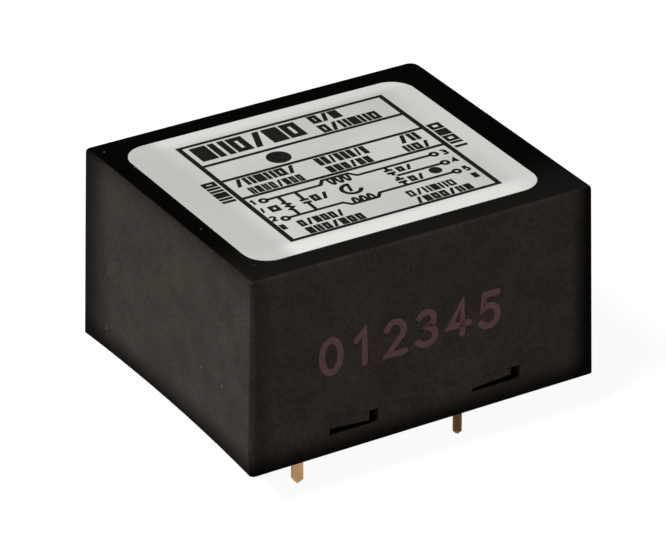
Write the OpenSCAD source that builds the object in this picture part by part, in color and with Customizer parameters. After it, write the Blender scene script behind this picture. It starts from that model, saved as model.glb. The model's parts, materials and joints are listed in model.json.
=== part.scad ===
// EMI line filter in a snap-fit box, for mounting on a circuit board.
// X runs from the line end to the load end, Y from the live side to the neutral side.
// The origin is the middle of the case's rim, which stands on the board it serves.

/* [Case] */
// Length of the case at its rim
case_length = 44.5; // [42:0.1:56]
// Width of the case at its rim
case_width = 38.1; // [37:0.1:48]
// Height of the case above its rim
case_height = 23.5; // [22:0.1:30]
// Lean of each side wall, in degrees
wall_draft = 1.2; // [0.6:0.05:1.6]
// Thickness of the side walls
wall = 1.5; // [1.2:0.1:1.8]
// Thickness of the top
top_wall = 1.6; // [1:0.1:2.4]
// Radius of the two upright edges at the line end
line_edge_r = 0.6; // [0.6:0.1:2]
// Radii of the two upright edges at the load end, live side and neutral side
load_edge_r = [0.6, 1.3]; // [0.6:0.1:2]
// Radius of the edges round the top
top_edge_r = 0.5; // [0.2:0.1:0.5]
// How far the line end wall is drawn in at the middle of its rim
end_wall_sink = 0.6; // [0.1:0.05:0.7]

/* [Latch windows] */
// Length of a window
window_length = 6.3; // [5:0.1:8]
// Height of a window
window_height = 1.65; // [1.2:0.05:2]
// Height of the window's sill above the rim
window_sill = 2.25; // [2:0.05:3]
// Distance between the two windows of one wall
window_pitch = 18.4; // [16:0.1:22]
// Open length beside a tongue, at the window's load end
tongue_side_gap = 1.25; // [0.6:0.05:2]
// Open height under a tongue at its two ends, on the front left tongue
front_left_gap = [0.85, 0.45]; // [0.3:0.05:0.9]
// Open height under a tongue at its two ends, on the front right tongue
front_right_gap = [0.45, 0.8]; // [0.3:0.05:0.9]
// Open height under a tongue at its two ends, on the back tongues
back_gap = [0.5, 0.5]; // [0.3:0.05:0.9]
// Play of a tongue against the other two sides of its window
tongue_play = 0.04; // [0.02:0.01:0.1]
// Thickness of the arm that carries a tongue
arm_t = 1; // [0.8:0.1:1.4]
// Height of an arm above its tongue
arm_head = 0.5; // [0.3:0.1:1]

/* [Base plate] */
// Depth of the base plate inside the rim
plate_recess = 0.4; // [0.2:0.1:0.5]
// Thickness of the base plate
plate_t = 1.6; // [1.2:0.1:1.6]
// Play between the tops of the latch arms, which rise from the plate's edge, and the walls
plate_play = 0.1; // [0.05:0.05:0.2]
// Radius of the pillars that carry the circuit board
pillar_r = 1.3; // [1:0.1:1.6]

/* [Label] */
// Length of the label
label_length = 36.9; // [30:0.1:38]
// Width of the label
label_width = 30.9; // [24:0.1:32]
// Radius of the label's corners
label_corner_r = 3; // [1:0.1:5]
// Thickness of the label
label_t = 0.1; // [0.05:0.05:0.2]
// How far the label is stuck off the middle of the top, along X and along Y
label_shift = [-0.7, -0.1]; // [-1:0.1:1]
// How far the label is stuck askew, in degrees
label_turn = -0.3; // [-1:0.1:1]

/* [Pins] */
// Side of the square pins
pin_side = 1; // [0.8:0.05:1.2]
// Length of the pins below the rim
pin_reach = 5; // [3:0.1:6]
// Length of the tapered tip of a pin
pin_tip = 0.55; // [0.3:0.05:0.9]
// Side of the flat at the end of a pin
pin_tip_side = 0.26; // [0.15:0.01:0.5]
// Length of the pins above the circuit board
pin_above_board = 0.8; // [0.4:0.1:1.2]
// Distance from the line pins to the load pins
line_to_load = 20.8; // [20:0.1:22]
// Distance from the line pins to the earth pin
line_to_earth = 28.5; // [27.5:0.1:29]
// Distance from the live pins to the neutral pins
live_to_neutral = 30.5; // [29.5:0.1:31]
// Turn of the line pins about their own length, in degrees
line_pin_turn = 0; // [-45:1:45]
// Turn of the load pins about their own length, in degrees
load_pin_turn = -31; // [-45:1:45]
// Turn of the earth pin about its own length, in degrees
earth_pin_turn = 0; // [-45:1:45]

/* [Circuit board] */
// Thickness of the circuit board
board_t = 1.6; // [1:0.1:1.6]
// Play between the circuit board and the walls
board_play = 0.2; // [0.1:0.05:0.4]
// Play of a pin or lead in its hole
hole_play = 0.1; // [0.05:0.05:0.2]
// Thickness of the copper
copper_t = 0.1; // [0.05:0.05:0.15]
// Width of the copper tracks
track_w = 2; // [1.2:0.1:2.4]
// Width of the copper round a hole
pad_ring = 0.7; // [0.4:0.1:0.8]
// Height of the solder joints
solder_h = 1; // [0.6:0.1:1.2]
// Gap between the solder joints and the latch arms below them
solder_gap = 0.15; // [0.1:0.05:0.5]
// Length of the leads beyond the solder joints
lead_beyond_solder = 0.2; // [0.1:0.1:0.6]
// Width of the ribs that hold the board down in the corners of the case
rib_w = 3; // [2:0.1:3.4]

/* [Choke] */
// Outer diameter of the ring core
core_od = 18; // [16:0.1:18.6]
// Inner diameter of the ring core
core_id = 9.5; // [9:0.1:11]
// Height of the ring core
core_h = 8; // [6:0.1:10]
// Radius of the core's edges
core_edge_r = 0.8; // [0.5:0.1:1.2]
// Diameter of the winding wire
wire_d = 0.75; // [0.5:0.05:0.75]
// Gap between the wire and the core
wire_play = 0.06; // [0.05:0.01:0.15]
// Turns of each winding
turns = 11; // [6:1:11]
// Angle that each winding covers, in degrees
winding_arc = 140; // [130:1:146]
// Thickness of the carrier under the windings
carrier_t = 1.4; // [1.3:0.1:2]
// Radius of the carrier
carrier_r = 7.5; // [5:0.1:8]
// Thickness of the fin between the windings
fin_t = 1; // [0.8:0.1:1.2]
// Place of the choke's axis along X
choke_x = 0.5; // [0.2:0.1:0.8]

/* [Capacitors and resistor] */
// Length, width and height of the box capacitor
x_cap_size = [18, 6, 12]; // [4:0.5:18]
// Distance between the box capacitor's leads
x_cap_pitch = 15; // [10:0.5:15]
// Gap between the box capacitor and the end wall
x_cap_gap = 0.8; // [0.4:0.1:1]
// Diameter of the box capacitor's leads
x_lead_d = 0.8; // [0.6:0.1:0.8]
// Diameter of the disc capacitors
y_cap_d = 9; // [7:0.1:10]
// Thickness of the disc capacitors
y_cap_t = 4; // [3:0.1:4.2]
// Distance between the leads of a disc capacitor
y_cap_pitch = 7.5; // [5:0.5:7.5]
// Distance from the middle of the board to the middle of a disc capacitor
y_cap_offset = 9; // [8.5:0.1:9.5]
// Height of the disc capacitors above the board
y_cap_lift = 1.2; // [1:0.1:2]
// Gap between a disc capacitor and the end wall
y_cap_gap = 1.2; // [0.8:0.1:1.4]
// Diameter of the disc capacitors' leads
y_lead_d = 0.6; // [0.5:0.1:0.8]
// Length of the resistor's body
resistor_length = 9; // [6:0.5:9.5]
// Diameter of the resistor's end caps
resistor_d = 3; // [2:0.1:3]
// Distance between the resistor's bent leads
resistor_pitch = 12.5; // [12.5:0.1:13]
// Gap between the resistor and the box capacitor
resistor_gap = 0.6; // [0.4:0.1:0.7]
// Diameter of the resistor's leads
resistor_lead_d = 0.6; // [0.5:0.1:0.7]

/* [Hidden] */

$fn = 48;
hull_fn = 32;
edge_steps = 4;
skin = 0.01;
cut = 1;

// Heights, from the rim up
plate_top = plate_recess + plate_t;
window_top = window_sill + window_height;
arm_top = window_top + arm_head;
solder_bottom = arm_top + solder_gap;
board_bottom = solder_bottom + solder_h + copper_t;
board_top = board_bottom + board_t;
ceiling = case_height - top_wall;
lead_end = solder_bottom - lead_beyond_solder;

// Half of the outside of the case, and of its cavity, at a height
function outer_half(size, z) = size / 2 - z * tan(wall_draft);
function inner_half(size, z) = outer_half(size, z) - wall;

// Radius of the shallow hollow that draws in the line end wall
sink_r = (pow(case_width / 2, 2) + pow(end_wall_sink, 2)) / (2 * end_wall_sink);

plate_half = [inner_half(case_length, arm_top) - plate_play,
              inner_half(case_width, arm_top) - plate_play];
board_half = [inner_half(case_length, board_top) - board_play,
              inner_half(case_width, board_top) - board_play];
arm_outer = plate_half[1];
plate_corner_r = max(load_edge_r);

// Places of the pins
line_x = -line_to_earth / 2;
load_x = line_x + line_to_load;
earth_x = line_to_earth / 2;
pin_y = live_to_neutral / 2;
pin_hole_r = pin_side / sqrt(2) + hole_play;

// Choke: the wire's centre line runs round the core's section
winding_gap = wire_d / 2 + wire_play;
path_in = core_id / 2 - winding_gap;
path_out = core_od / 2 + winding_gap;
path_up = core_h / 2 + winding_gap;
path_r = core_edge_r + winding_gap;
core_z = board_top + carrier_t + wire_d + wire_play + core_h / 2;
first_angle = -90 - winding_arc / 2;
choke_lead = [path_out * cos(first_angle), path_out * sin(first_angle)];

// Places of the capacitors and the resistor
x_cap_x = -inner_half(case_length, board_top + x_cap_size[2]) + x_cap_gap + x_cap_size[1] / 2;
y_cap_z = board_top + y_cap_lift + y_cap_d / 2;
y_cap_x = inner_half(case_length, y_cap_z + y_cap_d / 2) - y_cap_gap - y_cap_t / 2;
resistor_x = x_cap_x + x_cap_size[1] / 2 + resistor_gap + resistor_d / 2;
resistor_z = board_top + resistor_d / 2 + hole_play;
resistor_bend_r = resistor_lead_d * 1.5;

// Every drilled place on the live half of the board: its centre and its hole's radius
line_pin_at = [line_x, -pin_y, pin_hole_r];
load_pin_at = [load_x, -pin_y, pin_hole_r];
x_lead_at = [x_cap_x, -x_cap_pitch / 2, x_lead_d / 2 + hole_play];
resistor_at = [resistor_x, -resistor_pitch / 2, resistor_lead_d / 2 + hole_play];
choke_in_at = [choke_x + choke_lead[0], choke_lead[1], wire_d / 2 + hole_play];
choke_out_at = [choke_x - choke_lead[0], choke_lead[1], wire_d / 2 + hole_play];
y_live_at = [y_cap_x, -y_cap_offset - y_cap_pitch / 2, y_lead_d / 2 + hole_play];
y_earth_at = [y_cap_x, -y_cap_offset + y_cap_pitch / 2, y_lead_d / 2 + hole_play];
earth_pin_at = [earth_x, 0, pin_hole_r];
live_side = [line_pin_at, load_pin_at, x_lead_at, resistor_at, choke_in_at, choke_out_at,
             y_live_at, y_earth_at];
lead_places = [x_lead_at, resistor_at, choke_in_at, choke_out_at, y_live_at, y_earth_at];

// ---------- shared shapes ----------

// Draws its children as they are and again on the other side of the X axis
module both_sides() {
    children();
    mirror([0, 1, 0]) children();
}

// Block with leaning walls and rounded edges; r_line and r_load round its upright edges
module drafted_block(length, width, height, r_line, r_load, r_top) {
    hull() {
        for (sx = [-1, 1], sy = [-1, 1]) {
            r = sx < 0 ? r_line : sy < 0 ? r_load[0] : r_load[1];
            lean = height * tan(wall_draft);
            translate([sx * (length / 2 - r), sy * (width / 2 - r), 0])
                cylinder(r = r, h = skin, $fn = hull_fn);
            for (step = [0:edge_steps]) {
                a = 90 * step / edge_steps;
                translate([sx * (length / 2 - lean - r), sy * (width / 2 - lean - r),
                           height - r_top * (1 - sin(a)) - skin])
                    cylinder(r = r - r_top * (1 - cos(a)), h = skin, $fn = hull_fn);
            }
        }
    }
}

// Flat plate with round corners, from z = 0 up
module round_plate(half, t, r) {
    linear_extrude(t) {
        square([2 * half[0], 2 * (half[1] - r)], center = true);
        square([2 * (half[0] - r), 2 * half[1]], center = true);
        for (sx = [-1, 1], sy = [-1, 1])
            translate([sx * (half[0] - r), sy * (half[1] - r)])
                circle(r);
    }
}

// ---------- case ----------

module window_cuts() {
    for (sx = [-1, 1], sy = [-1, 1])
        translate([sx * window_pitch / 2, sy * case_width / 2, window_sill + window_height / 2])
            cube([window_length, 4 * wall, window_height], center = true);
}

// Corner ribs that trap the circuit board from above
module board_ribs() {
    rib_half = [inner_half(case_length, board_top), inner_half(case_width, board_top)];
    for (sx = [-1, 1], sy = [-1, 1])
        translate([sx * (rib_half[0] - (rib_w - wall) / 2), sy * (rib_half[1] - (rib_w - wall) / 2),
                   (board_top + ceiling) / 2])
            cube([rib_w, rib_w, ceiling - board_top], center = true);
}

module case() {
    color("#26231f")
    difference() {
        drafted_block(case_length, case_width, case_height,
                      line_edge_r, load_edge_r, top_edge_r);
        difference() {
            translate([0, 0, -skin])
                drafted_block(case_length - 2 * wall, case_width - 2 * wall, ceiling + skin,
                              line_edge_r, load_edge_r, top_edge_r);
            board_ribs();
        }
        window_cuts();
        translate([end_wall_sink - sink_r - case_length / 2, 0, -cut])
            cylinder(r = sink_r, h = case_height + 2 * cut, $fn = 1440);
    }
}

// ---------- base plate ----------

// Arm that rises along the front wall and the tongue on it that fills the window
module latch(gap) {
    from = -window_length / 2 + tongue_play;
    to = window_length / 2 - tongue_side_gap;
    flush = outer_half(case_width, window_sill + window_height / 2);
    translate([from, -arm_outer, plate_recess])
        cube([to - from, arm_t, arm_top - plate_recess]);
    translate([0, -arm_outer + arm_t / 2, 0])
        rotate([90, 0, 0])
            linear_extrude(flush - arm_outer + arm_t / 2)
                polygon([[from, window_sill + gap[0]], [to, window_sill + gap[1]],
                         [to, window_top - tongue_play], [from, window_top - tongue_play]]);
}

module base_plate() {
    color("#1f1d1b")
    difference() {
        union() {
            translate([0, 0, plate_recess])
                round_plate(plate_half, plate_t, plate_corner_r);
            for (sx = [-1, 1], sy = [-1, 1])
                translate([sx * (board_half[0] - pillar_r), sy * (board_half[1] - pillar_r),
                           plate_recess])
                    cylinder(r = pillar_r, h = board_bottom - plate_recess);
            translate([-window_pitch / 2, 0, 0]) latch(front_left_gap);
            translate([window_pitch / 2, 0, 0]) latch(front_right_gap);
            for (sx = [-1, 1])
                translate([sx * window_pitch / 2, 0, 0])
                    mirror([0, 1, 0]) latch(back_gap);
        }
        both_sides()
            for (at = [line_pin_at, load_pin_at])
                pin_hole(at);
        pin_hole(earth_pin_at);
    }
}

module pin_hole(at) {
    translate([at[0], at[1], plate_recess - cut])
        cylinder(r = at[2], h = plate_t + 2 * cut);
}

// ---------- label ----------

module label() {
    color("#d7dad2")
    translate([label_shift[0], label_shift[1], case_height])
        rotate([0, 0, label_turn])
            round_plate([label_length / 2, label_width / 2], label_t, label_corner_r);
}

// ---------- pins ----------

// Side view of a pin, with the tip tapered on two sides
module pin_profile() {
    half = pin_side / 2;
    tip_half = pin_tip_side / 2;
    polygon([[-tip_half, -pin_reach], [tip_half, -pin_reach], [half, pin_tip - pin_reach],
             [half, board_top + pin_above_board], [-half, board_top + pin_above_board],
             [-half, pin_tip - pin_reach]]);
}

module pin(at, turn) {
    color("#b08d4c")
    translate([at[0], at[1], 0])
        rotate([0, 0, turn])
            intersection() {
                rotate([90, 0, 0])
                    linear_extrude(pin_side, center = true) pin_profile();
                rotate([90, 0, 90])
                    linear_extrude(pin_side, center = true) pin_profile();
            }
}

module line_pin_live() { pin(line_pin_at, line_pin_turn); }
module line_pin_neutral() { mirror([0, 1, 0]) pin(line_pin_at, line_pin_turn); }
module load_pin_live() { pin(load_pin_at, load_pin_turn); }
module load_pin_neutral() { mirror([0, 1, 0]) pin(load_pin_at, load_pin_turn); }
module earth_pin() { pin(earth_pin_at, earth_pin_turn); }

// ---------- circuit board ----------

module circuit_board() {
    color("#b58a4a")
    difference() {
        translate([0, 0, board_bottom])
            round_plate(board_half, board_t, plate_corner_r);
        both_sides()
            for (at = live_side)
                translate([at[0], at[1], board_bottom - cut])
                    cylinder(r = at[2], h = board_t + 2 * cut);
        translate([earth_x, 0, board_bottom - cut])
            cylinder(r = pin_hole_r, h = board_t + 2 * cut);
    }
}

// Straight run of copper with round ends
module track(a, b) {
    run = [b[0] - a[0], b[1] - a[1]];
    translate([a[0], a[1]])
        rotate([0, 0, atan2(run[1], run[0])])
            translate([0, -track_w / 2])
                square([norm(run), track_w]);
    for (at = [a, b])
        translate([at[0], at[1]])
            circle(track_w / 2);
}

module pad(at) {
    translate([at[0], at[1]])
        circle(at[2] + pad_ring);
}

module hole(at) {
    translate([at[0], at[1]])
        circle(at[2]);
}

// One net: a track through all its places, with a pad and a hole at each
module net(places) {
    linear_extrude(copper_t)
        difference() {
            union() {
                for (i = [1:len(places) - 1])
                    track(places[i - 1], places[i]);
                for (at = places)
                    pad(at);
            }
            for (at = places)
                hole(at);
        }
}

module copper_tracks() {
    y_earth_far = [y_earth_at[0], -y_earth_at[1], y_earth_at[2]];
    color("#b87333")
    translate([0, 0, board_bottom - copper_t]) {
        both_sides() {
            net([line_pin_at, x_lead_at, resistor_at, choke_in_at]);
            net([choke_out_at, load_pin_at, y_live_at]);
        }
        net([y_earth_at, earth_pin_at, y_earth_far]);
    }
}

// Cone of solder under a hole
module solder(at) {
    translate([at[0], at[1], solder_bottom])
        cylinder(r1 = at[2] + pad_ring / 8, r2 = at[2] + pad_ring * 3 / 4, h = solder_h);
}

module solder_joints() {
    color("#c9ccd0")
    difference() {
        union() {
            both_sides()
                for (at = live_side)
                    solder(at);
            solder(earth_pin_at);
        }
        both_sides()
            for (at = lead_places)
                translate([at[0], at[1], lead_end - cut])
                    cylinder(r = at[2] - hole_play, h = board_bottom - lead_end + cut);
        line_pin_live();
        line_pin_neutral();
        load_pin_live();
        load_pin_neutral();
        earth_pin();
    }
}

// ---------- choke ----------

module choke_core() {
    width = (core_od - core_id) / 2;
    color("#4a7a4c")
    translate([choke_x, 0, core_z])
        rotate_extrude()
            translate([core_id / 2 + width / 2, 0]) {
                square([width - 2 * core_edge_r, core_h], center = true);
                square([width, core_h - 2 * core_edge_r], center = true);
                for (sx = [-1, 1], sy = [-1, 1])
                    translate([sx * (width / 2 - core_edge_r), sy * (core_h / 2 - core_edge_r)])
                        circle(core_edge_r);
            }
}

// Round foot under the windings, and the fin through the core's hole
module choke_carrier() {
    fin_half = core_id / 2 - wire_play;
    color("#e6e3d8")
    translate([choke_x, 0, board_top]) {
        cylinder(r = carrier_r, h = carrier_t);
        translate([-fin_half, -fin_t / 2, 0])
            cube([2 * fin_half, fin_t, core_z + core_h / 2 - board_top]);
    }
}

wire_sides = 8;
arc_steps = 3;
straight_up = 2 * (path_up - path_r);
straight_in = path_out - path_in - 2 * path_r;
corner_run = PI / 2 * path_r;
turn_run = 2 * straight_up + 2 * straight_in + 4 * corner_run;

// Distance along a turn at which its corner number c begins
function corner_start(c) =
    ceil((c + 1) / 2) * straight_up + floor((c + 1) / 2) * straight_in + c * corner_run;

// Angle round the core after t turns
function winding_angle(t) = first_angle + t * winding_arc / turns;

// Point at radius r, height z and t turns along the winding
function on_core(r, z, t) =
    [choke_x + r * cos(winding_angle(t)), r * sin(winding_angle(t)), core_z + z];

// Middle of corner c of the section: outer top, inner top, inner bottom, outer bottom
function corner_middle(c) =
    [c == 0 || c == 3 ? path_out - path_r : path_in + path_r,
     c < 2 ? path_up - path_r : path_r - path_up];

// Points of one corner; the last corner of the winding bends down and not up
function corner_points(t, c) =
    let (last = t == turns - 1 && c == 3)
    let (m = last ? [path_out - path_r, -path_up - path_r] : corner_middle(c))
    [for (j = [0:arc_steps])
        let (a = last ? 90 - 90 * j / arc_steps : 90 * (c + j / arc_steps))
        on_core(m[0] + path_r * cos(a), m[1] + path_r * sin(a),
                t + (corner_start(c) + corner_run * j / arc_steps) / turn_run)];

// The wire's whole centre line, from one end under the board to the other
winding_path = concat(
    [on_core(path_out, lead_end - core_z, 0)],
    [on_core(path_out, path_r - path_up, 0)],
    [for (t = [0:turns - 1], c = [0:3]) each corner_points(t, c)],
    [on_core(path_out, lead_end - core_z, turns)]
);

function unit(v) = v / norm(v);

// Direction of the wire at point i
function run_at(p, i) = unit(p[min(i + 1, len(p) - 1)] - p[max(i - 1, 0)]);

// Ring of corners round point i, kept square to the run and level with the core's turn
function ring_at(p, i) =
    let (d = run_at(p, i))
    let (round = unit([choke_x - p[i][0], -p[i][1], 0]))
    let (side = unit(cross(d, cross([-round[1], round[0], 0], d))))
    let (other = cross(d, side))
    [for (k = [0:wire_sides - 1])
        let (a = 360 * k / wire_sides)
        p[i] + wire_d / 2 * (cos(a) * side + sin(a) * other)];

module winding() {
    n = len(winding_path);
    points = [for (i = [0:n - 1]) each ring_at(winding_path, i)];
    walls = [for (i = [0:n - 2], k = [0:wire_sides - 1])
        let (next = (k + 1) % wire_sides)
        [i * wire_sides + k, i * wire_sides + next,
         (i + 1) * wire_sides + next, (i + 1) * wire_sides + k]];
    first_end = [for (k = [wire_sides - 1:-1:0]) k];
    last_end = [for (k = [0:wire_sides - 1]) (n - 1) * wire_sides + k];
    polyhedron(points, concat([first_end], walls, [last_end]));
}

module choke_winding_line() {
    color("#a65a2a") winding();
}

module choke_winding_neutral() {
    color("#a65a2a") mirror([0, 1, 0]) winding();
}

// ---------- capacitors and resistor ----------

// Straight leads, from a height down to below the board
module leads(places, top) {
    for (at = places)
        translate([at[0], at[1], lead_end])
            cylinder(r = at[2] - hole_play, h = top - lead_end);
}

module x_capacitor() {
    color("#3d6da8")
    translate([x_cap_x, 0, board_top])
        round_plate([x_cap_size[1] / 2, x_cap_size[0] / 2], x_cap_size[2], 0.6);
}

module x_capacitor_leads() {
    color("#c9ccd0")
    both_sides() leads([x_lead_at], board_top);
}

module y_capacitor_line() {
    color("#3b78b5")
    translate([y_cap_x, -y_cap_offset, y_cap_z])
        rotate([0, 90, 0])
            rotate_extrude() {
                translate([0, -y_cap_t / 2])
                    square([y_cap_d / 2 - y_cap_t / 2, y_cap_t]);
                translate([y_cap_d / 2 - y_cap_t / 2, 0])
                    intersection() {
                        circle(y_cap_t / 2);
                        translate([0, -y_cap_t])
                            square(2 * y_cap_t);
                    }
            }
}

module y_capacitor_neutral() {
    mirror([0, 1, 0]) y_capacitor_line();
}

// Straight legs that enter the disc at its lower rim
module y_capacitor_line_leads() {
    color("#c9ccd0")
    difference() {
        leads([y_live_at, y_earth_at], y_cap_z);
        y_capacitor_line();
    }
}

module y_capacitor_neutral_leads() {
    mirror([0, 1, 0]) y_capacitor_line_leads();
}

module bleed_resistor() {
    cap = resistor_d / 2;
    color("#c8b48a")
    translate([resistor_x, 0, resistor_z])
        rotate([90, 0, 0]) {
            cylinder(r = cap * 0.85, h = resistor_length, center = true);
            for (s = [-1, 1])
                translate([0, 0, s * (resistor_length - cap) / 2])
                    cylinder(r = cap, h = cap, center = true);
        }
}

// Wire from the resistor's end, round a bend and down through the board
module bent_lead() {
    r = resistor_lead_d / 2;
    from = resistor_length / 2;
    to = resistor_pitch / 2 - resistor_bend_r;
    translate([resistor_x, -from, resistor_z])
        rotate([90, 0, 0])
            cylinder(r = r, h = to - from);
    translate([resistor_x, -to, resistor_z - resistor_bend_r])
        rotate([90, 0, -90])
            rotate_extrude(angle = 90)
                translate([resistor_bend_r, 0])
                    circle(r);
    translate([resistor_x, -resistor_pitch / 2, lead_end])
        cylinder(r = r, h = resistor_z - resistor_bend_r - lead_end);
}

module bleed_resistor_leads() {
    color("#c9ccd0")
    both_sides() bent_lead();
}

case();
base_plate();
label();
circuit_board();
copper_tracks();
solder_joints();
choke_core();
choke_carrier();
choke_winding_line();
choke_winding_neutral();
x_capacitor();
x_capacitor_leads();
y_capacitor_line();
y_capacitor_line_leads();
y_capacitor_neutral();
y_capacitor_neutral_leads();
bleed_resistor();
bleed_resistor_leads();
line_pin_live();
line_pin_neutral();
load_pin_live();
load_pin_neutral();
earth_pin();
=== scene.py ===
"""Looks of a board-mounted mains filter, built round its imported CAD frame.

Lengths below are in millimetres and become metres where a mesh is made.
"""

import json
import math

import bmesh
import bpy
from mathutils import Matrix, Vector


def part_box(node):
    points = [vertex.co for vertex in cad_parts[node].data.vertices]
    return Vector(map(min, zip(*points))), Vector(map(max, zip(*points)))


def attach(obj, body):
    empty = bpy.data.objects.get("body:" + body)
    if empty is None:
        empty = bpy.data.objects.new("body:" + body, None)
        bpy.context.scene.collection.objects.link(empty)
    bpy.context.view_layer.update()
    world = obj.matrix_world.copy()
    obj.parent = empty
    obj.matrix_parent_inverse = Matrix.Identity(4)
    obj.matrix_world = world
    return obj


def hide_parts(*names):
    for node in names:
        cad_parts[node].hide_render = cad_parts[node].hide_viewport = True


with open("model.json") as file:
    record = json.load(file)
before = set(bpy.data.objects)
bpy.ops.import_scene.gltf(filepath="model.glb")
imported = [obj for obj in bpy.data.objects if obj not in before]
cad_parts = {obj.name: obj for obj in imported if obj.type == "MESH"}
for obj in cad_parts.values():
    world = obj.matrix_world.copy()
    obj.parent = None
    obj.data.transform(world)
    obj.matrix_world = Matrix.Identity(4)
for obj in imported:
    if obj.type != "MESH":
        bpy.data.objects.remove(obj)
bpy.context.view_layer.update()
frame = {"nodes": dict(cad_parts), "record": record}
nodes = frame["nodes"]

MM = 0.001


# ---------- places taken from the frame ----------


def box_mm(node):
    """Lowest and highest corner of a CAD node, in millimetres."""
    lowest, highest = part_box(node)
    return lowest / MM, highest / MM


case_lo, case_hi = box_mm("case")
label_lo, label_hi = box_mm("label")
ground = box_mm("earth_pin")[0].z

WALL_LEAN = math.radians(1.2)  # draft of the case's side walls


# ---------- camera ----------

LENS = 245.95  # a long lens, so the box's edges run almost parallel
SENSOR = 36.0
CAMERA_AZIMUTH = math.radians(-31.182)
CAMERA_ELEVATION = math.radians(28.51)
CAMERA_ROLL = math.radians(-0.052)
CAMERA_DISTANCE = 509.41
AIM_RIGHT = -0.386  # how far the aim lies from the middle of the box, in the picture's plane
AIM_UP = -1.961


def make_camera():
    middle = Vector((0, 0, case_hi.z / 2))
    back = Vector((
        math.sin(CAMERA_AZIMUTH) * math.cos(CAMERA_ELEVATION),
        -math.cos(CAMERA_AZIMUTH) * math.cos(CAMERA_ELEVATION),
        math.sin(CAMERA_ELEVATION),
    ))
    level_right = Vector((0, 0, 1)).cross(back).normalized()
    level_up = back.cross(level_right)
    right = level_right * math.cos(CAMERA_ROLL) - level_up * math.sin(CAMERA_ROLL)
    up = level_up * math.cos(CAMERA_ROLL) + level_right * math.sin(CAMERA_ROLL)
    place = middle + back * CAMERA_DISTANCE + right * AIM_RIGHT + up * AIM_UP
    data = bpy.data.cameras.new("camera")
    data.lens = LENS
    data.sensor_width = SENSOR
    data.clip_start = 0.05  # metres
    data.clip_end = 20
    camera = bpy.data.objects.new("camera", data)
    turn = Matrix((right, up, back)).transposed().to_4x4()
    camera.matrix_world = Matrix.Translation(place * MM) @ turn
    bpy.context.scene.collection.objects.link(camera)
    bpy.context.scene.camera = camera


make_camera()


# ---------- node trees ----------


class Tree:
    """A material's node tree, filled by short calls that return output sockets."""

    def __init__(self, name):
        self.material = bpy.data.materials.new(name)
        self.material.use_nodes = True
        self.tree = self.material.node_tree
        self.shader = self.tree.nodes["Principled BSDF"]
        place = self.tree.nodes.new("ShaderNodeTexCoord").outputs["Object"]
        self.place = self.vector("MULTIPLY", place, (1 / MM,) * 3)

    def put(self, value, socket):
        if isinstance(value, bpy.types.NodeSocket):
            self.tree.links.new(value, socket)
        else:
            socket.default_value = value

    def set(self, **values):
        """Sets or links the shader's inputs; an underscore stands for a space."""
        for name, value in values.items():
            self.put(value, self.shader.inputs[name.replace("_", " ")])

    def vector(self, operation, a, b=None):
        node = self.tree.nodes.new("ShaderNodeVectorMath")
        node.operation = operation
        self.put(a, node.inputs[0])
        if operation == "SCALE":
            self.put(b, node.inputs["Scale"])
        elif b is not None:
            self.put(b, node.inputs[1])
        return node.outputs["Vector"]

    def math(self, operation, a, b):
        node = self.tree.nodes.new("ShaderNodeMath")
        node.operation = operation
        self.put(a, node.inputs[0])
        self.put(b, node.inputs[1])
        return node.outputs[0]

    def axis(self, name):
        """One coordinate of the place, in millimetres."""
        node = self.tree.nodes.new("ShaderNodeSeparateXYZ")
        self.put(self.place, node.inputs[0])
        return node.outputs[name]

    def noise(self, scale, detail, roughness, place=None):
        """Soft noise from 0 to 1, with scale features to the millimetre."""
        node = self.tree.nodes.new("ShaderNodeTexNoise")
        self.put(place or self.place, node.inputs["Vector"])
        node.inputs["Scale"].default_value = scale
        node.inputs["Detail"].default_value = detail
        node.inputs["Roughness"].default_value = roughness
        return node.outputs["Fac"]

    def cells(self, scale):
        """Distance to the nearest scattered point, and that point's random colour."""
        node = self.tree.nodes.new("ShaderNodeTexVoronoi")
        self.put(self.place, node.inputs["Vector"])
        node.inputs["Scale"].default_value = scale
        return node.outputs["Distance"], node.outputs["Color"]

    def span(self, value, low, high, to_low=0.0, to_high=1.0):
        """Maps low..high smoothly onto to_low..to_high and holds it there outside."""
        node = self.tree.nodes.new("ShaderNodeMapRange")
        node.interpolation_type = "SMOOTHSTEP"
        for socket, number in zip(node.inputs, (value, low, high, to_low, to_high)):
            self.put(number, socket)
        return node.outputs["Result"]

    def mix(self, fac, a, b):
        node = self.tree.nodes.new("ShaderNodeMix")
        node.data_type = "RGBA"
        sockets = {s.identifier: s for s in node.inputs}
        self.put(fac, sockets["Factor_Float"])
        self.put(a, sockets["A_Color"])
        self.put(b, sockets["B_Color"])
        return next(s for s in node.outputs if s.identifier == "Result_Color")

    def scaled(self, colour, amount):
        """A colour times a number."""
        return self.vector("SCALE", colour[:3], amount)

    def bump(self, height, distance, strength=1.0, normal=None):
        """Tilts the surface by a height from 0 to 1 that stands for distance millimetres."""
        node = self.tree.nodes.new("ShaderNodeBump")
        node.inputs["Strength"].default_value = strength
        node.inputs["Distance"].default_value = distance * MM
        self.put(height, node.inputs["Height"])
        if normal is not None:
            self.put(normal, node.inputs["Normal"])
        return node.outputs["Normal"]


def rgb(red, green, blue):
    """A shader colour from an 8-bit screen colour."""

    def linear(v):
        v /= 255
        return v / 12.92 if v <= 0.04045 else ((v + 0.055) / 1.055) ** 2.4

    return (linear(red), linear(green), linear(blue), 1.0)


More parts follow.
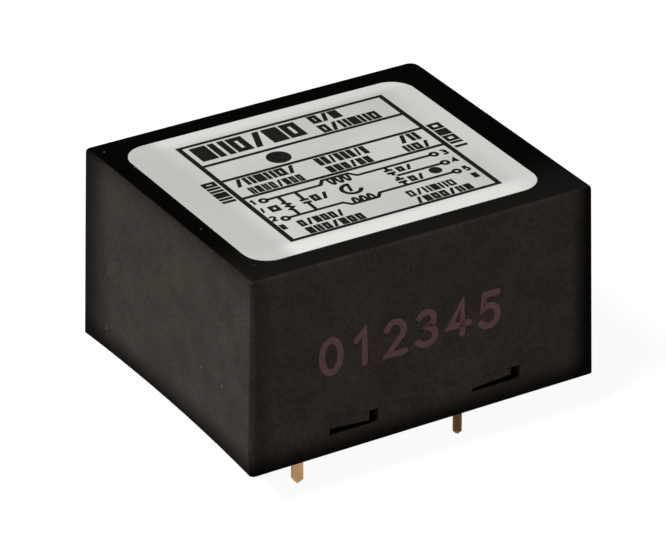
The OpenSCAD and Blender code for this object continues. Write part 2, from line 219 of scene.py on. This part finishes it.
def moulded_black(name, side, top, roughness):
    """Spark-eroded black plastic with fine grain, soft mottling and a few pale specks; painted
    light makes its sides a lighter brown-black than its black top, and painted shade darkens
    them toward their edges and the rim."""
    t = Tree(name)
    x, y, z = (t.axis(letter) for letter in "XYZ")
    on_front = t.span(y, case_lo.y + 0.9, case_lo.y + 0.65)
    on_line_end = t.span(x, case_lo.x + 1.1, case_lo.x + 0.8)
    # Painted shade: the sides grow dark toward the rim
    shade = t.span(z, -0.2, 3.6, 0.06, 1.0)
    # Painted shade and highlight on the sides. Each change: the face, the axis it runs along,
    # where it is full, where it has faded out, and the share of the light left where it is full
    for face, across, full, clear, share in (
        # Painted shade at both ends of the front and toward the back of the line end
        (on_front, x, case_hi.x - 0.8, case_hi.x - 3.8, 0.04),
        (on_front, x, case_lo.x, case_lo.x + 4.0, 0.55),
        (on_line_end, y, case_hi.y - 0.6, case_hi.y - 7.5, 0.15),
        # Painted light and shade below the line end's top edge
        (on_line_end, z, case_hi.z - 1.2, case_hi.z - 3.0, 0.8),
        (on_line_end, z, case_hi.z - 1.2, case_hi.z - 0.4, 1.25),
    ):
        fade = t.span(across, full, clear, 1.0 - share, 0.0)
        lost = t.math("MULTIPLY", face, fade)
        shade = t.math("MULTIPLY", shade, t.math("SUBTRACT", 1.0, lost))
    grain = t.span(t.noise(2.3, 3, 0.6), 0.25, 0.75, 0.76, 1.24)
    cloud = t.span(t.noise(0.3, 3, 0.55), 0.3, 0.7, 0.88, 1.12)
    shade = t.math("MULTIPLY", shade, t.math("MULTIPLY", grain, cloud))
    plastic = t.scaled(side, shade)
    # Painted light: the top grows lighter toward the front edge
    painted_light_top = t.scaled(top, t.span(y, -7.0, case_lo.y + 0.5, 0.4, 2.1))
    plastic = t.mix(t.span(z, case_hi.z - 0.08, case_hi.z - 0.01), plastic, painted_light_top)
    near, tint = t.cells(0.42)
    chosen = t.math("GREATER_THAN", tint, 0.72)
    speck = t.math("MULTIPLY", t.span(near, 0.028, 0.05, 1.0, 0.0), chosen)
    t.set(
        Base_Color=t.mix(speck, plastic, rgb(112, 110, 104)),
        Roughness=t.span(grain, 0.76, 1.24, roughness - 0.05, roughness + 0.07),
        Specular_IOR_Level=0.01,
        Normal=t.bump(
            t.noise(7.0, 3, 0.6), 0.012,
            normal=t.bump(t.noise(2.2, 3, 0.55), 0.03, 0.8),
        ),
    )
    return t.material


def film():
    """Pale matt film: faint fibres and a little grey handling."""
    t = Tree("label_film")
    x, y = t.axis("X"), t.axis("Y")
    cloud = t.span(t.noise(0.11, 4, 0.55), 0.3, 0.7)
    grain = t.span(t.noise(3.5, 3, 0.6), 0.3, 0.7)
    colour = t.mix(cloud, rgb(196, 199, 191), rgb(208, 211, 203))
    colour = t.mix(t.math("MULTIPLY", grain, 0.25), colour, rgb(190, 192, 186))
    # The four strips outside the printed frame: where each tone starts and where it is full
    for across, start, full, tone in (
        (y, -12.0, -14.0, rgb(232, 235, 226)),
        (x, 13.5, 16.5, rgb(212, 215, 207)),
        (y, 12.6, 14.2, rgb(220, 223, 215)),
        (x, -13.5, -16.0, rgb(186, 189, 181)),
    ):
        strip = t.math("MULTIPLY", t.span(across, start, full), 0.8)
        colour = t.mix(strip, colour, tone)
    t.set(
        Base_Color=colour,
        Roughness=t.span(grain, 0.0, 1.0, 0.5, 0.6),
        Specular_IOR_Level=0.35,
        Normal=t.bump(t.noise(5.0, 3, 0.6), 0.004),
    )
    return t.material


def ink(name, full, thin, cover):
    """Ink that is thinner here and there; cover is how far it goes toward the thin colour."""
    t = Tree(name)
    worn = t.span(t.noise(4.5, 4, 0.7), 0.34, 0.66)
    t.set(
        Base_Color=t.mix(t.math("MULTIPLY", worn, cover), full, thin),
        Roughness=t.span(worn, 0.0, 1.0, 0.45, 0.6),
        Specular_IOR_Level=0.3,
    )
    return t.material


def metal(name, bright, dull, roughness, drawn=1.0):
    """Drawn metal: fine lines along Z and patches of tarnish."""
    t = Tree(name)
    along = t.vector("MULTIPLY", t.place, (1.0, 1.0, 0.06))
    lines = t.span(t.noise(9.0, 3, 0.6, place=along), 0.3, 0.7)
    patches = t.span(t.noise(0.9, 4, 0.6), 0.38, 0.66)
    t.set(
        Base_Color=t.mix(patches, bright, dull),
        Metallic=1.0,
        Roughness=t.span(patches, 0.0, 1.0, roughness, roughness + 0.16),
        Normal=t.bump(lines, 0.004 * drawn, 0.6),
    )
    return t.material


def pin_metal():
    """Brass wire: pale where it was drawn, browner toward the load end, with painted shadow near
    the board, under the case.
    """
    t = Tree("pin_brass")
    x, z = t.axis("X"), t.axis("Z")
    along = t.vector("MULTIPLY", t.place, (1.0, 1.0, 0.1))
    lines = t.span(t.noise(5.0, 3, 0.6, place=along), 0.3, 0.7)
    patches = t.span(t.noise(1.1, 3, 0.55, place=along), 0.3, 0.7)
    brown = t.span(x, -12.0, 2.0, 0.0, 1.0)
    colour = t.mix(patches, rgb(176, 142, 92), rgb(150, 104, 54))
    colour = t.mix(brown, colour, t.mix(patches, rgb(92, 66, 36), rgb(64, 40, 18)))
    # Painted shadow: the wire darkens where it comes out from under the case
    colour = t.mix(t.span(z, -2.6, -1.0, 0.0, 0.6), colour, rgb(48, 38, 26))
    t.set(
        Base_Color=colour,
        Metallic=1.0,
        Roughness=t.span(lines, 0.0, 1.0, 0.3, 0.42),
        Normal=t.bump(lines, 0.01, 0.6),
    )
    return t.material


def coating(name, colour, deeper, roughness, scale=0.8, relief=0.01):
    """Plain coloured surface with mottling and a little relief."""
    t = Tree(name)
    patches = t.span(t.noise(scale, 4, 0.55), 0.32, 0.68)
    t.set(
        Base_Color=t.mix(patches, colour, deeper),
        Roughness=t.span(patches, 0.0, 1.0, roughness, roughness + 0.1),
        Normal=t.bump(t.noise(scale * 4, 3, 0.6), relief),
    )
    return t.material


def laminate():
    """Paper laminate of a circuit board: fibres in two directions under resin."""
    t = Tree("board_laminate")
    fibres = [
        t.noise(2.2, 3, 0.6, place=t.vector("MULTIPLY", t.place, squeeze))
        for squeeze in ((1.0, 0.15, 1.0), (0.15, 1.0, 1.0))
    ]
    weave = t.span(t.math("ADD", *fibres), 0.8, 1.2)
    t.set(
        Base_Color=t.mix(weave, rgb(150, 104, 52), rgb(182, 136, 76)),
        Roughness=t.span(weave, 0.0, 1.0, 0.4, 0.55),
        Normal=t.bump(weave, 0.006),
    )
    return t.material


looks = {
    # Painted light: the side colour is lighter than the top colour by how the light falls on
    # them
    "case_plastic": moulded_black("case_plastic", rgb(45, 40, 36), rgb(14, 13, 12), 0.55),
    "cover_plastic": moulded_black("cover_plastic", rgb(42, 38, 34), rgb(14, 13, 12), 0.5),
    "label_film": film(),
    "board_laminate": laminate(),
    "copper": metal("copper", rgb(205, 132, 92), rgb(166, 98, 62), 0.34),
    "solder": metal("solder", rgb(206, 208, 210), rgb(160, 162, 165), 0.3, 0.3),
    "core_coating": coating("core_coating", rgb(58, 108, 70), rgb(44, 90, 58), 0.4, 0.7, 0.02),
    "white_plastic": coating("white_plastic", rgb(222, 218, 204), rgb(208, 203, 188), 0.5),
    "enamelled_wire": metal("enamelled_wire", rgb(190, 96, 48), rgb(158, 74, 36), 0.28, 0.3),
    "blue_box": coating("blue_box", rgb(58, 92, 150), rgb(50, 82, 138), 0.36, 0.5, 0.006),
    "tinned_wire": metal("tinned_wire", rgb(204, 206, 208), rgb(170, 171, 173), 0.32),
    "blue_epoxy": coating("blue_epoxy", rgb(40, 104, 176), rgb(34, 92, 160), 0.26, 0.6, 0.02),
    "resistor_body": coating("resistor_body", rgb(196, 168, 120), rgb(182, 152, 104), 0.4),
    "pin_brass": pin_metal(),
}

for part in frame["record"]["subparts"]:
    mesh = nodes[part["node"]].data
    mesh.materials.clear()
    mesh.materials.append(looks[part["material_slot"]])


# ---------- flat shapes on a surface ----------


class Sheet:
    """Collects flat shapes in a surface's own two axes and gives them a thickness."""

    def __init__(self, place):
        self.place = place  # turns (across, up, out) into a point, all in millimetres
        self.points = []
        self.faces = []

    def add(self, points, faces):
        start = len(self.points)
        self.points += points
        self.faces += [[start + i for i in face] for face in faces]

    def mesh(self, name, bottom, top):
        """A closed mesh of every shape, from bottom to top above the surface."""
        count = len(self.points)
        edges = {}
        for face in self.faces:
            for a, b in zip(face, face[1:] + face[:1]):
                edges[(a, b)] = True
        rim = [(a, b) for a, b in edges if (b, a) not in edges]
        points = [self.place(u, v, h) * MM for h in (bottom, top) for u, v in self.points]
        faces = [face[::-1] for face in self.faces]
        faces += [[i + count for i in face] for face in self.faces]
        faces += [[a, b, b + count, a + count] for a, b in rim]
        data = bpy.data.meshes.new(name)
        data.from_pydata(points, [], faces)
        data.validate()
        return data


CAP_STEPS = 6  # steps round half a round end


def stroke(points, width, closed=False, round_ends=False):
    """Points and faces of a line of that width along some points."""
    count = len(points)
    half = width / 2
    left, right = [], []
    for i in range(count):
        here = Vector(points[i])
        before = Vector(points[i - 1]) if closed or i else None
        after = Vector(points[(i + 1) % count]) if closed or i < count - 1 else None
        runs = [r.normalized() for r in (
            here - before if before else None, after - here if after else None) if r]
        run = sum(runs, Vector((0, 0))).normalized()
        side = Vector((-run.y, run.x))
        reach = half / max(0.5, side.dot(Vector((-runs[0].y, runs[0].x))))
        left.append(here + side * reach)
        right.append(here - side * reach)
    made = [tuple(p) for p in left + right]
    last = count if closed else count - 1
    faces = [
        [i, count + i, count + (i + 1) % count, (i + 1) % count] for i in range(last)
    ]
    if round_ends and not closed:
        ends = ((0, left[0], points[0]), (count - 1, right[-1], points[-1]))
        for index, start, middle in ends:
            arm = Vector(start) - Vector(middle)
            bow = []
            for step in range(1, CAP_STEPS):
                arm_turned = arm.copy()
                arm_turned.rotate(Matrix.Rotation(math.pi * step / CAP_STEPS, 2))
                bow.append(tuple(Vector(middle) + arm_turned))
            first = len(made)
            made += bow
            tip = [index, *range(first, first + len(bow)), count + index]
            if index:
                tip = [count + index, *range(first, first + len(bow)), index]
            faces.append(tip)
    return made, faces


def rectangle(x0, y0, x1, y1):
    return [(x0, y0), (x1, y0), (x1, y1), (x0, y1)], [[0, 1, 2, 3]]


def arc(centre, radii, start, end, steps):
    """Points on an ellipse, from one angle to another, in degrees."""
    return [
        (
            centre[0] + radii[0] * math.cos(math.radians(start + (end - start) * i / steps)),
            centre[1] + radii[1] * math.sin(math.radians(start + (end - start) * i / steps)),
        )
        for i in range(steps + 1)
    ]


def ring(centre, radius, steps=24):
    return arc(centre, (radius, radius), 0, 360, steps)[:-1]


# Centre lines of plain numerals in a cell one unit high
NUMERALS = {
    "0": [(arc((0.3, 0.5), (0.3, 0.5), 90, 450, 28)[:-1], True)],
    "1": [([(0.08, 0.76), (0.34, 1.0), (0.34, 0.0)], False)],
    "2": [(arc((0.3, 0.7), (0.28, 0.3), 160, -35, 12) + [(0.03, 0.0), (0.62, 0.0)], False)],
    "3": [(arc((0.28, 0.77), (0.26, 0.23), 150, -78, 12) + [(0.38, 0.53)]
           + arc((0.27, 0.26), (0.31, 0.26), 62, -150, 14), False)],
    "4": [([(0.44, 0.0), (0.44, 1.0), (0.0, 0.3), (0.66, 0.3)], False)],
    "5": [([(0.58, 1.0), (0.14, 1.0), (0.08, 0.55)]
           + arc((0.28, 0.32), (0.3, 0.32), 112, -145, 16), False)],
}


def write(sheet, text, corner, height, pitch, width, round_ends=True):
    """Draws numerals from their lower left corner on; pitch is the step between them."""
    inner = height - width
    for place, numeral in enumerate(text):
        left = corner[0] + place * pitch + width / 2
        low = corner[1] + width / 2
        for line, closed in NUMERALS[numeral]:
            points = [(left + u * inner, low + v * inner) for u, v in line]
            sheet.add(*stroke(points, width, closed, round_ends))


def add_piece(name, data, look):
    """Links a piece made here to the object, with its material, under the root body."""
    piece = bpy.data.objects.new(name, data)
    data.materials.append(look)
    bpy.context.scene.collection.objects.link(piece)
    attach(piece, "root")
    return piece


# ---------- label ----------

INK_T = 0.012
LABEL_SIZE = (36.9, 30.9)
LABEL_CORNER_R = 3.0
LABEL_TURN = Matrix.Rotation(math.radians(-0.3), 2)  # the label is stuck a little askew
LABEL_EDGE = 0.03  # soft edge of the punched film
film_top = label_hi.z - INK_T
label_middle = (label_lo.xy + label_hi.xy) / 2


def label_outline(inset, steps=10):
    """Rounded rectangle as large as the CAD label, drawn in by inset."""
    radius = LABEL_CORNER_R - inset
    points = []
    for sx, sy, start in ((1, 1, 0), (-1, 1, 90), (-1, -1, 180), (1, -1, 270)):
        corner = (sx * (LABEL_SIZE[0] / 2 - LABEL_CORNER_R),
                  sy * (LABEL_SIZE[1] / 2 - LABEL_CORNER_R))
        points += arc(corner, (radius, radius), start, start + 90, steps)
    return [label_middle + LABEL_TURN @ Vector(point) for point in points]


def make_label_film():
    layers = (
        (0.0, label_lo.z),
        (0.0, film_top - LABEL_EDGE),
        (LABEL_EDGE * 0.3, film_top - LABEL_EDGE * 0.3),
        (LABEL_EDGE, film_top),
    )
    data = bpy.data.meshes.new("label_face")
    mesh = bmesh.new()
    loops = [
        [mesh.verts.new(Vector((x, y, z)) * MM) for x, y in label_outline(inset)]
        for inset, z in layers
    ]
    mesh.faces.new(loops[0][::-1])
    mesh.faces.new(loops[-1])
    for low, high in zip(loops, loops[1:]):
        for i in range(len(low)):
            j = (i + 1) % len(low)
            mesh.faces.new((low[i], low[j], high[j], high[i]))
    mesh.to_mesh(data)
    mesh.free()
    piece = add_piece("label_face", data, looks["label_film"])
    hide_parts("label")


make_label_film()

# Printed frame and its rows, from the case's middle
FRAME_LEFT, FRAME_RIGHT = -13.1, 13.22
FRAME_LOW, FRAME_HIGH = -12.67, 12.45
RULES = (7.27, 3.12, -1.55)
UPRIGHT_W = 0.62
RULE_W = 0.5
WIRE_W = 0.44

label_print = Sheet(lambda u, v, h: (LABEL_TURN @ Vector((u, v))).to_3d() + Vector((0, 0, h)))


def print_frame():
    half = UPRIGHT_W / 2
    for x in (FRAME_LEFT, FRAME_RIGHT):
        label_print.add(*rectangle(x - half, FRAME_LOW - RULE_W / 2,
                                   x + half, FRAME_HIGH + RULE_W / 2))
    for y in (FRAME_LOW, *RULES, FRAME_HIGH):
        label_print.add(*rectangle(FRAME_LEFT + half, y - RULE_W / 2,
                                   FRAME_RIGHT - half, y + RULE_W / 2))


def mark(kind, x0, y0, x1, y1, width, turned=False):
    """One plain shape that fills a cell of a printed line."""
    corners = [(x0, y0), (x1, y0), (x1, y1), (x0, y1)]
    half = width / 2
    if kind == "ring":
        label_print.add(*stroke([(x0 + half, y0 + half), (x1 - half, y0 + half),
                                 (x1 - half, y1 - half), (x0 + half, y1 - half)],
                                width, closed=True))
    elif kind == "block":
        label_print.add(corners, [[0, 1, 2, 3]])
    elif kind == "slash":
        label_print.add([(x0, y0), (x0 + width, y0), (x1, y1), (x1 - width, y1)], [[0, 1, 2, 3]])
    elif turned:
        label_print.add(*rectangle(x0, y0, x1, y0 + width))
        label_print.add(*rectangle(x0, y1 - width, x1, y1))
    else:
        label_print.add(*rectangle(x0, y0, x0 + width, y1))
        label_print.add(*rectangle(x1 - width, y0, x1, y1))


# An uneven order, so that no two lines look alike
KINDS = ("ring", "slash", "pair", "block", "pair", "ring", "slash", "block", "ring")


def line_of_marks(x0, y0, x1, y1, count, width, first=0, gap=0.14):
    """Equal cells from corner to corner, each with a plain shape, in place of a line of words.

    count is the number of cells, width that of the strokes, first the place in KINDS.
    """
    step = (x1 - x0 + gap) / count
    for i in range(count):
        left = x0 + i * step
        mark(KINDS[(first + i) % len(KINDS)], left, y0, left + step - gap, y1, width)


def print_lines():
    """The rows above the circuit, the values below it and the plain disc in the second row."""
    line_of_marks(-12.2, 8.35, 1.3, 11.85, 6, 0.82, first=3, gap=0.24)
    line_of_marks(3.1, 10.15, 7.0, 12.1, 3, 0.55, first=5, gap=0.1)
    line_of_marks(3.0, 7.65, 10.7, 9.6, 6, 0.5, gap=0.12)
    line_of_marks(-12.0, 0.95, -4.15, 2.75, 6, 0.5, first=1)
    line_of_marks(-11.3, -1.2, -4.55, 0.4, 8, 0.34, first=2)
    line_of_marks(-1.5, 0.85, 4.95, 2.75, 8, 0.34, first=4)
    line_of_marks(-1.35, -1.2, 4.25, 0.4, 6, 0.4, first=7)
    line_of_marks(9.1, 0.85, 11.75, 2.75, 2, 0.55, first=1)
    line_of_marks(8.6, -1.2, 11.95, 0.4, 3, 0.45, first=4)
    line_of_marks(-10.6, -10.5, -4.95, -9.0, 6, 0.38, first=5)
    line_of_marks(-10.6, -12.35, -3.5, -10.85, 7, 0.42, first=3)
    line_of_marks(3.15, -10.6, 9.2, -9.15, 6, 0.34, first=0)
    line_of_marks(3.15, -12.35, 10.35, -10.95, 7, 0.42, first=6)
    disc((-4.45, 5.1), 1.45, 20)


def disc(centre, radius, steps):
    label_print.add(ring(centre, radius, steps), [list(range(steps))])


# The printed circuit: levels of its wires and places of its parts along X
TOP_WIRE, LOW_WIRE, EARTH_WIRE = -3.1, -7.9, -5.45
TOP_STEP, LOW_STEP = 0.9, -0.85  # how far a wire steps aside at the choke
STEP_FROM, STEP_TO = (-3.9, -3.2), (0.1, 0.8)
LEFT_TERMINAL, RIGHT_TERMINAL = -11.15, 10.75
TERMINAL_R = 0.4
RESISTOR_X = -9.35
LINE_CAPACITOR_X = -7.2
EARTH_CAPACITOR_X = 4.3
CHOKE_LOOPS = (-2.4, -1.45, -0.5)
LOOP_R = 0.3


def stepped_wire(left, right, level, aside):
    """Route of a wire that steps aside where the choke sits on it."""
    return [(left, level), (STEP_FROM[0], level), (STEP_FROM[1], level + aside),
            (STEP_TO[0], level + aside), (STEP_TO[1], level), (right, level)]


def print_circuit():
    """The filter's circuit: resistor, capacitor, choke and two capacitors to earth."""
    left, right = LEFT_TERMINAL + TERMINAL_R, RIGHT_TERMINAL - TERMINAL_R
    for wire in (
        stepped_wire(left, right, TOP_WIRE, TOP_STEP),
        stepped_wire(left, right, LOW_WIRE, LOW_STEP),
        [(EARTH_CAPACITOR_X + WIRE_W / 2, EARTH_WIRE), (right, EARTH_WIRE)],
    ):
        label_print.add(*stroke(wire, WIRE_W))
    for x, y in ((LEFT_TERMINAL, TOP_WIRE), (LEFT_TERMINAL, LOW_WIRE),
                 (RIGHT_TERMINAL, TOP_WIRE), (RIGHT_TERMINAL, EARTH_WIRE),
                 (RIGHT_TERMINAL, LOW_WIRE)):
        label_print.add(*stroke(ring((x, y), TERMINAL_R), 0.4, closed=True))
    top, low = TOP_WIRE - WIRE_W / 2, LOW_WIRE + WIRE_W / 2
    zigzag = [(RESISTOR_X, top), (RESISTOR_X, -4.5)]
    zigzag += [(RESISTOR_X + (0.28 if i % 2 else -0.28), -4.75 - 0.4 * i) for i in range(5)]
    zigzag += [(RESISTOR_X, -6.6), (RESISTOR_X, low)]
    label_print.add(*stroke(zigzag, WIRE_W))
    capacitor(LINE_CAPACITOR_X, top, low)
    capacitor(EARTH_CAPACITOR_X, top, EARTH_WIRE + WIRE_W / 2)
    capacitor(EARTH_CAPACITOR_X, EARTH_WIRE - WIRE_W / 2, low)
    for level, drop in ((TOP_WIRE + TOP_STEP - WIRE_W / 2, 1.25),
                        (LOW_WIRE + LOW_STEP + WIRE_W / 2, -1.0)):
        for x in CHOKE_LOOPS:
            loop = arc((x, level), (LOOP_R, drop), 0, -180, 10)
            label_print.add(*stroke(loop, WIRE_W * 0.85))
    label_print.add(*stroke(arc((-1.45, -5.55), (1.1, 1.1), 75, 345, 20), 0.5))
    label_print.add([(-1.9, -6.1), (-1.5, -6.1), (-1.1, -4.4), (-1.5, -4.4)], [[0, 1, 2, 3]])
    disc((8.85, -6.5), 0.78, 16)


def capacitor(x, top, low):
    """Two plates across an upright wire."""
    middle, gap, plate = (top + low) / 2, 0.22, 0.55
    for y0, y1 in ((middle + gap / 2 + WIRE_W, top), (low, middle - gap / 2 - WIRE_W)):
        label_print.add(*rectangle(x - WIRE_W / 2, y0, x + WIRE_W / 2, y1))
    for y in (middle + gap / 2, middle - gap / 2 - WIRE_W):
        label_print.add(*rectangle(x - plate, y, x + plate, y + WIRE_W))


def print_marks():
    """Terminal numbers and the marks beside the parts of the circuit."""
    for text, x, y in (("1", -12.4, -3.0), ("2", -12.4, -7.3), ("3", 12.0, -3.2),
                       ("4", 12.0, -5.4), ("5", 12.0, -7.8)):
        write(label_print, text, (x - 0.42, y - 0.65), 1.3, 1.0, 0.34, round_ends=False)
    mark("slash", -12.65, -5.6, -12.15, -4.5, 0.3)
    mark("block", -12.7, -10.1, -12.05, -8.9, 0.3)
    mark("block", 11.65, -10.3, 12.4, -9.1, 0.3)
    mark("ring", -11.65, -6.0, -10.4, -4.6, 0.48)
    line_of_marks(-6.4, -6.1, -4.2, -4.6, 2, 0.45, first=0)
    line_of_marks(5.2, -4.85, 7.2, -3.65, 2, 0.42, first=0)
    line_of_marks(5.2, -7.5, 7.2, -6.2, 2, 0.42, first=0)


def print_side_words():
    """Shapes turned upright beside the frame, at the line end and at the load end."""
    for x0, x1, y0, y1, kinds in (
        (-15.3, -13.6, -1.6, 3.7, ("pair", "block", "pair", "ring")),
        (13.75, 15.4, -3.0, 3.5, ("pair", "ring", "block", "ring")),
    ):
        gap = 0.16
        step = (y1 - y0 + gap) / len(kinds)
        for i, kind in enumerate(kinds):
            mark(kind, x0, y0 + i * step, x1, y0 + (i + 1) * step - gap, 0.5, turned=True)


print_frame()
print_lines()
print_circuit()
print_marks()
print_side_words()
looks["print_ink"] = ink("print_ink", rgb(15, 16, 13), rgb(38, 39, 34), 0.6)
add_piece("label_print", label_print.mesh("label_print", film_top, film_top + INK_T),
          looks["print_ink"])


# ---------- stamped numerals ----------

STAMP = "012345"
STAMP_LEFT, STAMP_LOW = -13.6, 9.6
STAMP_H, STAMP_PITCH, STAMP_W = 4.7, 4.05, 0.78
STAMP_T = 0.01


def on_front(u, v, h):
    """A point on the leaning front wall: u along it, v above the rim, h out of it."""
    lean = Vector((0, math.sin(WALL_LEAN), math.cos(WALL_LEAN)))
    out = Vector((0, -math.cos(WALL_LEAN), math.sin(WALL_LEAN)))
    foot = Vector((u, case_lo.y, 0))
    return foot + lean * (v / math.cos(WALL_LEAN)) + out * h


stamp = Sheet(on_front)
write(stamp, STAMP, (STAMP_LEFT, STAMP_LOW), STAMP_H, STAMP_PITCH, STAMP_W)
looks["stamp_ink"] = ink("stamp_ink", rgb(74, 22, 30), rgb(44, 30, 30), 0.7)
add_piece("stamped_numerals", stamp.mesh("stamped_numerals", 0.0, STAMP_T),
          looks["stamp_ink"])


# ---------- floor and light ----------


def make_floor():
    """A pale floor that shines a little itself, so it stays almost white."""
    half = 3.0  # metres
    data = bpy.data.meshes.new("floor")
    z = ground * MM
    data.from_pydata([(-half, -half, z), (half, -half, z), (half, half, z), (-half, half, z)],
                     [], [(0, 1, 2, 3)])
    floor = bpy.data.objects.new("floor", data)
    t = Tree("floor")
    shade = t.span(t.noise(0.02, 2, 0.5), 0.3, 0.7)
    t.set(
        Base_Color=t.mix(shade, rgb(118, 118, 117), rgb(122, 122, 121)),
        Roughness=0.9,
        Specular_IOR_Level=0.1,
        Emission_Color=(1, 1, 1, 1),
        Emission_Strength=0.95,
    )
    data.materials.append(t.material)
    bpy.context.scene.collection.objects.link(floor)


def soft_light(name, place, aim, size, power):
    """A square soft box; place and aim are in millimetres, power in watts."""
    data = bpy.data.lights.new(name, "AREA")
    data.shape = "SQUARE"
    data.size = size * MM
    data.energy = power
    light = bpy.data.objects.new(name, data)
    toward = (Vector(aim) - Vector(place)).normalized()
    light.matrix_world = (
        Matrix.Translation(Vector(place) * MM)
        @ toward.to_track_quat("-Z", "Y").to_matrix().to_4x4()
    )
    bpy.context.scene.collection.objects.link(light)


def make_world():
    """Dim surroundings that look pale to the camera."""
    world = bpy.data.worlds.new("studio")
    world.use_nodes = True
    tree = world.node_tree
    room = tree.nodes["Background"]
    room.inputs["Color"].default_value = (1, 1, 1, 1)
    seen = tree.nodes.new("ShaderNodeLightPath").outputs["Is Camera Ray"]
    strength = tree.nodes.new("ShaderNodeMapRange")
    strength.inputs["To Min"].default_value = 0.03
    strength.inputs["To Max"].default_value = 0.9
    tree.links.new(seen, strength.inputs["Value"])
    tree.links.new(strength.outputs["Result"], room.inputs["Strength"])
    bpy.context.scene.world = world


make_floor()
make_world()
soft_light("key", (-420, -70, 553), (0, 0, 10), 300, 6.2)

bpy.context.scene.view_settings.view_transform = "Standard"
